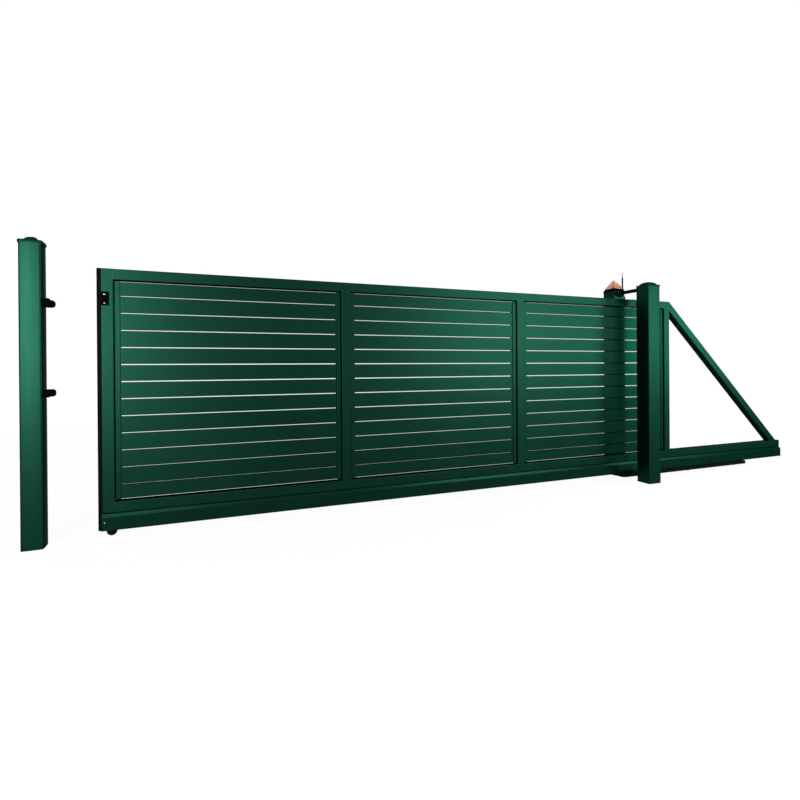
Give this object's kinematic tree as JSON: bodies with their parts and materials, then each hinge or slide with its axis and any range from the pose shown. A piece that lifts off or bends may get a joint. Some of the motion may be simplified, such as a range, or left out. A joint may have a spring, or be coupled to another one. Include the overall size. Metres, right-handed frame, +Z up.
{
  "type": "sliding driveway gate",
  "caption": "Cantilever sliding driveway gate with level slat infill, a running rail with a braced tail, a pair of guide posts with a signal lamp, and a catch post.",
  "frame": {"origin": "middle of the front guide post's foot, at ground level", "axes": "+X the way the leaf opens, +Y from the street side to the back, +Z up"},
  "size_m": [6.024, 0.476, 1.7225],
  "materials": {
    "green_paint": "satin moss-green powder coat",
    "black_fitting": "moulded black plastic",
    "black_paint": "satin black paint",
    "buffer_rubber": "extruded black rubber",
    "lamp_lens": "clear orange lens",
    "zinc_steel": "zinc-plated steel",
    "nylon": "turned black nylon"
  },
  "bodies": {
    "portal": {"catch_post": "green_paint", "catch_post_cap": "green_paint", "upper_catch": "black_fitting", "lower_catch": "black_fitting", "front_guide_post": "green_paint", "front_guide_post_cap": "green_paint", "rear_guide_post": "green_paint", "rear_guide_post_cap": "black_fitting", "signal_lamp": "lamp_lens", "antenna": "black_fitting", "guide_bar": "black_paint", "front_guide_hanger": "black_paint", "rear_guide_hanger": "black_paint", "front_guide_roller": "nylon", "rear_guide_roller": "nylon", "base_channel": "black_paint", "front_trolley": "zinc_steel", "rear_trolley": "zinc_steel"},
    "leaf": {"closing_stile": "green_paint", "first_mullion": "green_paint", "second_mullion": "green_paint", "rear_stile": "green_paint", "top_rail": "green_paint", "bottom_rail": "green_paint", "tail_brace": "green_paint", "track_rail": "green_paint", "front_infill": "green_paint", "middle_infill": "green_paint", "rear_infill": "green_paint", "safety_edge": "buffer_rubber", "wear_plate": "black_fitting", "rear_rail_cap": "black_fitting", "front_rail_cap": "black_paint"},
    "end_roller": {"end_roller": "nylon"}
  },
  "joints": [
    {"name": "leaf_slide", "type": "slide", "parent": "portal", "child": "leaf", "axis": [1, 0, 0], "range_m": [-0.232, 3.55]},
    {"name": "end_roller_spin", "type": "hinge", "parent": "leaf", "child": "end_roller", "pos_m": [-3.767, 0.175, 0.045], "axis": [0, 1, 0], "continuous": true}
  ]
}
